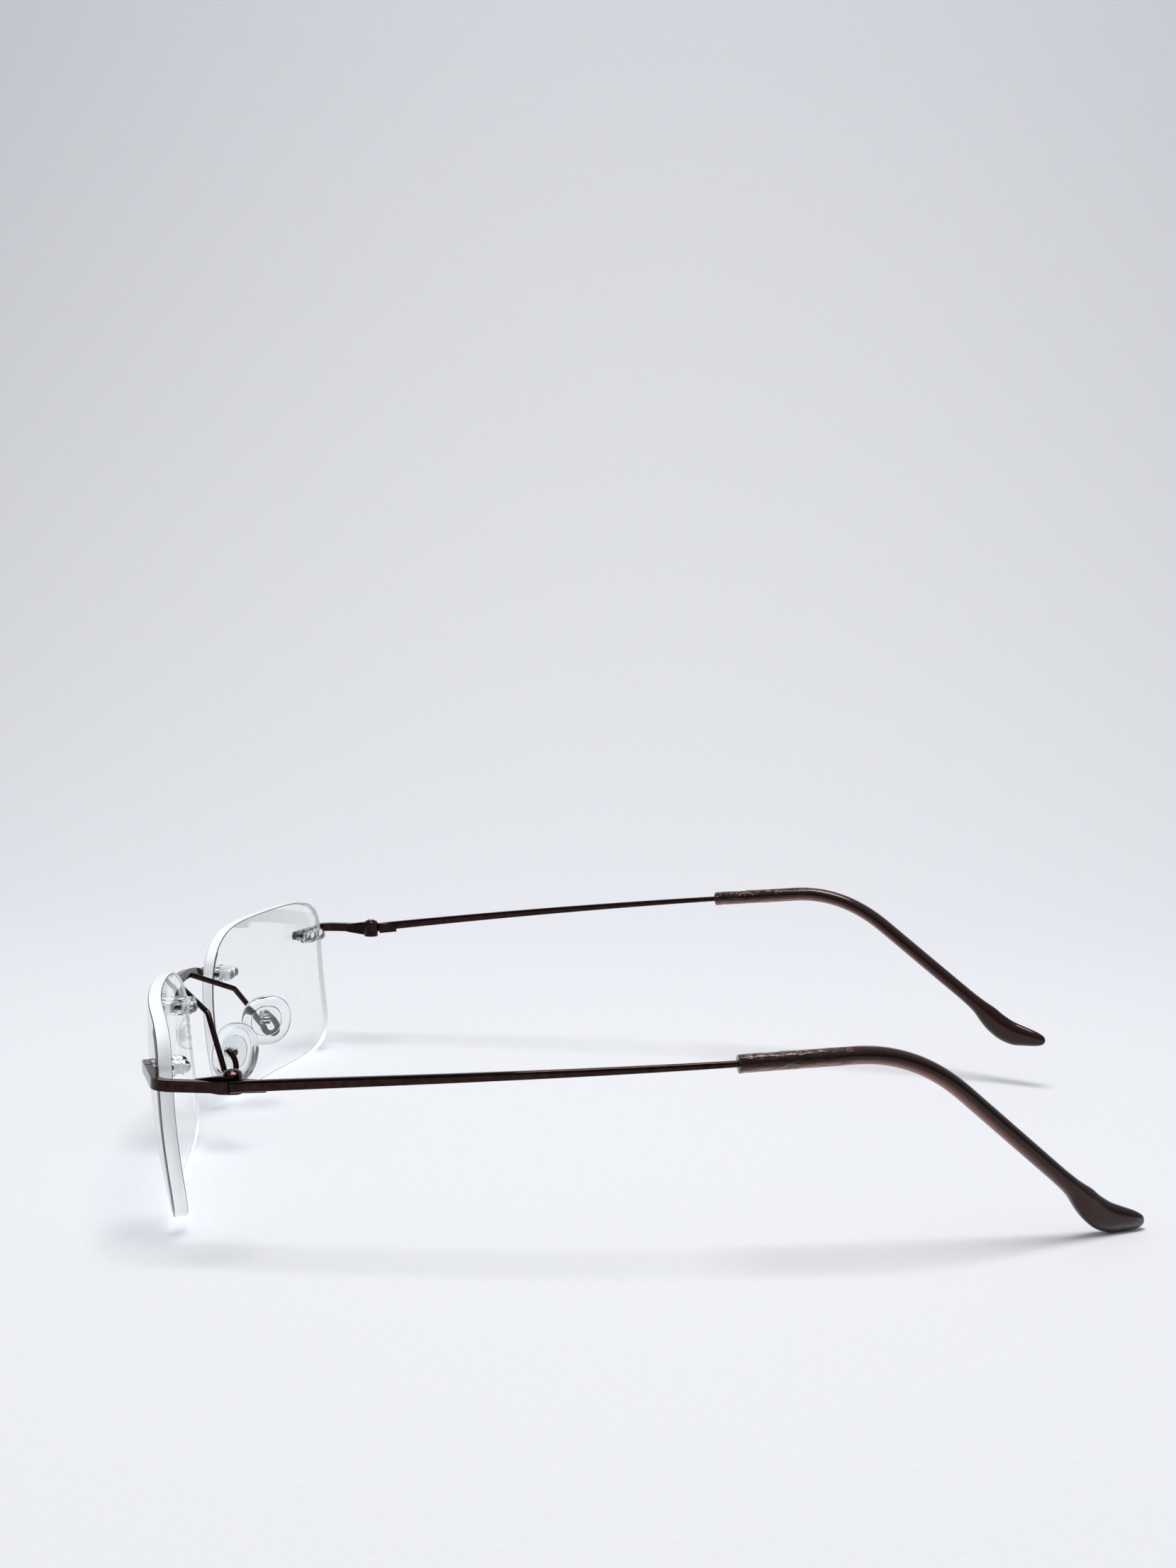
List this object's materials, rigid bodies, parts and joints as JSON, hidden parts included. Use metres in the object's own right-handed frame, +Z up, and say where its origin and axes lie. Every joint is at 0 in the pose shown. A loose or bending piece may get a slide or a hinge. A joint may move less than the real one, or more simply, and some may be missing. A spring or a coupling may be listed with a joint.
{
  "type": "rimless eyeglasses",
  "caption": "Rimless spectacles with drilled clear lenses on plastic bushings, wire-mounted rocking nose pads and folding wire temples with sleeved tips.",
  "frame": {"origin": "on the resting surface, at the middle of the whole object in plan", "axes": "+Z up, the wearer faces -Y, +X towards the wearer's left"},
  "size_m": [0.1318, 0.1552, 0.035],
  "materials": {
    "lens": "clear, polished faces with a frosted edge",
    "clear_plastic": "clear moulded plastic",
    "silicone": "clear soft silicone",
    "tip": "translucent dark red-brown acetate, glossy",
    "screw": "dark plated",
    "frame_metal": "glossy dark coffee-brown coating"
  },
  "bodies": {
    "front": {"lens_left": "lens", "lens_right": "lens", "bridge": "frame_metal", "gasket_bridge_left": "clear_plastic", "gasket_bridge_right": "clear_plastic", "gasket_endpiece_left": "clear_plastic", "gasket_endpiece_right": "clear_plastic", "bushing_bridge_left": "clear_plastic", "bushing_bridge_right": "clear_plastic", "bushing_endpiece_left": "clear_plastic", "bushing_endpiece_right": "clear_plastic", "endpiece_left": "frame_metal", "endpiece_right": "frame_metal", "pad_arm_left": "frame_metal", "pad_arm_right": "frame_metal", "pad_box_left": "clear_plastic", "pad_box_right": "clear_plastic", "pad_screw_left": "screw", "pad_screw_right": "screw", "hinge_front_leaf_left": "frame_metal", "hinge_front_leaf_right": "frame_metal", "hinge_screw_left": "screw", "hinge_screw_right": "screw"},
    "temple_arm_left": {"hinge_temple_leaf_left": "frame_metal", "temple_left": "frame_metal", "temple_tip_left": "tip"},
    "pad_left": {"nose_pad_left": "silicone", "pad_core_left": "clear_plastic"},
    "temple_arm_right": {"hinge_temple_leaf_right": "frame_metal", "temple_right": "frame_metal", "temple_tip_right": "tip"},
    "pad_right": {"nose_pad_right": "silicone", "pad_core_right": "clear_plastic"}
  },
  "joints": [
    {"name": "temple_left_fold", "type": "hinge", "parent": "front", "child": "temple_arm_left", "pos_m": [0.0632, -0.0541, 0.0236], "axis": [0, 0, 1], "range_deg": [0, 82]},
    {"name": "temple_right_fold", "type": "hinge", "parent": "front", "child": "temple_arm_right", "pos_m": [-0.0632, -0.0541, 0.0236], "axis": [0, 0, -1], "range_deg": [0, 78]},
    {"name": "nose_pad_left_rock", "type": "hinge", "parent": "front", "child": "pad_left", "pos_m": [0.01352, -0.06549, 0.01601], "axis": [0.3746, 0.9272, 0], "range_deg": [-6, 6]},
    {"name": "nose_pad_right_rock", "type": "hinge", "parent": "front", "child": "pad_right", "pos_m": [-0.01352, -0.06549, 0.01601], "axis": [-0.3746, 0.9272, 0], "range_deg": [-6, 6]}
  ]
}
